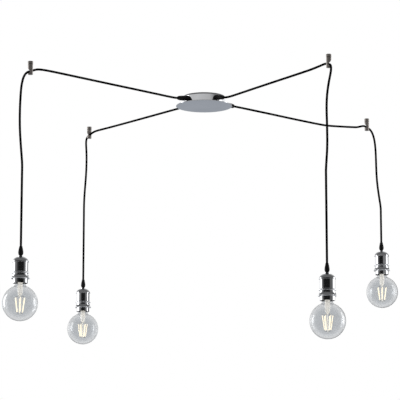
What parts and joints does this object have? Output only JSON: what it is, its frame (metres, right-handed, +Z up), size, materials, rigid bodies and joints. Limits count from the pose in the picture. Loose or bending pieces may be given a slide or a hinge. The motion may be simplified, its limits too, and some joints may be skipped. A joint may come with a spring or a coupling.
{
  "type": "cluster pendant light",
  "caption": "Ceiling rose with a flat chrome disc whose black cables spread over ceiling hooks and drop to chrome lampholders with clear globe bulbs.",
  "frame": {"origin": "middle of the ceiling bracket's top face, on the ceiling plane", "axes": "+Z up out of the ceiling face; +X to the right as the picture sees the light, along its longest side; +Y away from the picture's camera"},
  "size_m": [1.1141, 1.0336, 0.76],
  "materials": {
    "chrome": "polished",
    "steel": "zinc plated",
    "nickel": "dark satin nickel",
    "black_plastic": "satin black",
    "textile": "black braided textile",
    "ceramic": "white, matt",
    "brass": "bright",
    "clear_glass": "clear, faintly grey",
    "filament": "pale stem with glowing sticks"
  },
  "bodies": {
    "root": {"ceiling_bracket": "steel", "canopy_cup": "chrome", "canopy_disc": "chrome", "terminal_block": "ceramic", "canopy_cord_grip_1": "black_plastic", "ceiling_cable_1": "textile", "ceiling_hook_1": "nickel", "canopy_cord_grip_2": "black_plastic", "ceiling_cable_2": "textile", "ceiling_hook_2": "nickel", "canopy_cord_grip_3": "black_plastic", "ceiling_cable_3": "textile", "ceiling_hook_3": "nickel", "canopy_cord_grip_4": "black_plastic", "ceiling_cable_4": "textile", "ceiling_hook_4": "nickel"},
    "cable_1": {"hanging_cable_1": "textile"},
    "holder_1": {"lampholder_cord_grip_1": "black_plastic", "lampholder_cap_1": "chrome", "lampholder_shell_1": "chrome", "lampholder_core_1": "ceramic"},
    "upper_ring_1": {"upper_shade_ring_1": "chrome"},
    "lower_ring_1": {"lower_shade_ring_1": "chrome"},
    "contact_1": {"centre_contact_1": "brass"},
    "bulb_1": {"bulb_base_1": "steel", "bulb_glass_1": "clear_glass", "bulb_filament_1": "filament"},
    "cable_2": {"hanging_cable_2": "textile"},
    "holder_2": {"lampholder_cord_grip_2": "black_plastic", "lampholder_cap_2": "chrome", "lampholder_shell_2": "chrome", "lampholder_core_2": "ceramic"},
    "upper_ring_2": {"upper_shade_ring_2": "chrome"},
    "lower_ring_2": {"lower_shade_ring_2": "chrome"},
    "contact_2": {"centre_contact_2": "brass"},
    "bulb_2": {"bulb_base_2": "steel", "bulb_glass_2": "clear_glass", "bulb_filament_2": "filament"},
    "cable_3": {"hanging_cable_3": "textile"},
    "holder_3": {"lampholder_cord_grip_3": "black_plastic", "lampholder_cap_3": "chrome", "lampholder_shell_3": "chrome", "lampholder_core_3": "ceramic"},
    "upper_ring_3": {"upper_shade_ring_3": "chrome"},
    "lower_ring_3": {"lower_shade_ring_3": "chrome"},
    "contact_3": {"centre_contact_3": "brass"},
    "bulb_3": {"bulb_base_3": "steel", "bulb_glass_3": "clear_glass", "bulb_filament_3": "filament"},
    "cable_4": {"hanging_cable_4": "textile"},
    "holder_4": {"lampholder_cord_grip_4": "black_plastic", "lampholder_cap_4": "chrome", "lampholder_shell_4": "chrome", "lampholder_core_4": "ceramic"},
    "upper_ring_4": {"upper_shade_ring_4": "chrome"},
    "lower_ring_4": {"lower_shade_ring_4": "chrome"},
    "contact_4": {"centre_contact_4": "brass"},
    "bulb_4": {"bulb_base_4": "steel", "bulb_glass_4": "clear_glass", "bulb_filament_4": "filament"}
  },
  "joints": [
    {"name": "cable_swing_1", "type": "hinge", "parent": "root", "child": "cable_1", "pos_m": [-0.48416, -0.43594, -0.3026], "axis": [0.6691, -0.7431, 0], "range_deg": [-15, 15]},
    {"name": "holder_tilt_1", "type": "hinge", "parent": "cable_1", "child": "holder_1", "pos_m": [-0.48416, -0.43594, -0.5035], "axis": [-0.7431, -0.6691, 0], "range_deg": [-20, 20]},
    {"name": "upper_ring_turn_1", "type": "hinge", "parent": "holder_1", "child": "upper_ring_1", "pos_m": [-0.48416, -0.43594, -0.576], "axis": [0, 0, 1], "continuous": true},
    {"name": "lower_ring_turn_1", "type": "hinge", "parent": "holder_1", "child": "lower_ring_1", "pos_m": [-0.48416, -0.43594, -0.5872], "axis": [0, 0, 1], "continuous": true},
    {"name": "contact_travel_1", "type": "slide", "parent": "holder_1", "child": "contact_1", "axis": [0, 0, 1], "range_m": [-0.0036, 0]},
    {"name": "bulb_turn_1", "type": "hinge", "parent": "contact_1", "child": "bulb_1", "pos_m": [-0.48416, -0.43594, -0.578], "axis": [0, 0, 1], "range_deg": [-360, 0]},
    {"name": "cable_swing_2", "type": "hinge", "parent": "root", "child": "cable_2", "pos_m": [0.31784, -0.51299, -0.3326], "axis": [0.8339, 0.5519, 0], "range_deg": [-15, 15]},
    {"name": "holder_tilt_2", "type": "hinge", "parent": "cable_2", "child": "holder_2", "pos_m": [0.31784, -0.51299, -0.5595], "axis": [0.5519, -0.8339, 0], "range_deg": [-20, 20]},
    {"name": "upper_ring_turn_2", "type": "hinge", "parent": "holder_2", "child": "upper_ring_2", "pos_m": [0.31784, -0.51299, -0.632], "axis": [0, 0, 1], "continuous": true},
    {"name": "lower_ring_turn_2", "type": "hinge", "parent": "holder_2", "child": "lower_ring_2", "pos_m": [0.31784, -0.51299, -0.6432], "axis": [0, 0, 1], "continuous": true},
    {"name": "contact_travel_2", "type": "slide", "parent": "holder_2", "child": "contact_2", "axis": [0, 0, 1], "range_m": [-0.0036, 0]},
    {"name": "bulb_turn_2", "type": "hinge", "parent": "contact_2", "child": "bulb_2", "pos_m": [0.31784, -0.51299, -0.634], "axis": [0, 0, 1], "range_deg": [-360, 0]},
    {"name": "cable_swing_3", "type": "hinge", "parent": "root", "child": "cable_3", "pos_m": [-0.36927, 0.4263, -0.2646], "axis": [-0.7559, -0.6547, 0], "range_deg": [-15, 15]},
    {"name": "holder_tilt_3", "type": "hinge", "parent": "cable_3", "child": "holder_3", "pos_m": [-0.36927, 0.4263, -0.4725], "axis": [-0.6547, 0.7559, 0], "range_deg": [-20, 20]},
    {"name": "upper_ring_turn_3", "type": "hinge", "parent": "holder_3", "child": "upper_ring_3", "pos_m": [-0.36927, 0.4263, -0.545], "axis": [0, 0, 1], "continuous": true},
    {"name": "lower_ring_turn_3", "type": "hinge", "parent": "holder_3", "child": "lower_ring_3", "pos_m": [-0.36927, 0.4263, -0.5562], "axis": [0, 0, 1], "continuous": true},
    {"name": "contact_travel_3", "type": "slide", "parent": "holder_3", "child": "contact_3", "axis": [0, 0, 1], "range_m": [-0.0036, 0]},
    {"name": "bulb_turn_3", "type": "hinge", "parent": "contact_3", "child": "bulb_3", "pos_m": [-0.36927, 0.4263, -0.547], "axis": [0, 0, 1], "range_deg": [-360, 0]},
    {"name": "cable_swing_4", "type": "hinge", "parent": "root", "child": "cable_4", "pos_m": [0.53538, 0.31662, -0.2876], "axis": [-0.509, 0.8607, 0], "range_deg": [-15, 15]},
    {"name": "holder_tilt_4", "type": "hinge", "parent": "cable_4", "child": "holder_4", "pos_m": [0.53538, 0.31662, -0.3745], "axis": [0.8607, 0.509, 0], "range_deg": [-20, 20]},
    {"name": "upper_ring_turn_4", "type": "hinge", "parent": "holder_4", "child": "upper_ring_4", "pos_m": [0.53538, 0.31662, -0.447], "axis": [0, 0, 1], "continuous": true},
    {"name": "lower_ring_turn_4", "type": "hinge", "parent": "holder_4", "child": "lower_ring_4", "pos_m": [0.53538, 0.31662, -0.4582], "axis": [0, 0, 1], "continuous": true},
    {"name": "contact_travel_4", "type": "slide", "parent": "holder_4", "child": "contact_4", "axis": [0, 0, 1], "range_m": [-0.0036, 0]},
    {"name": "bulb_turn_4", "type": "hinge", "parent": "contact_4", "child": "bulb_4", "pos_m": [0.53538, 0.31662, -0.449], "axis": [0, 0, 1], "range_deg": [-360, 0]}
  ],
  "couplings": [
    {"joint": "contact_travel_1", "follows": "bulb_turn_1", "m_per_rad": 0.00057296},
    {"joint": "contact_travel_2", "follows": "bulb_turn_2", "m_per_rad": 0.00057296},
    {"joint": "contact_travel_3", "follows": "bulb_turn_3", "m_per_rad": 0.00057296},
    {"joint": "contact_travel_4", "follows": "bulb_turn_4", "m_per_rad": 0.00057296}
  ]
}
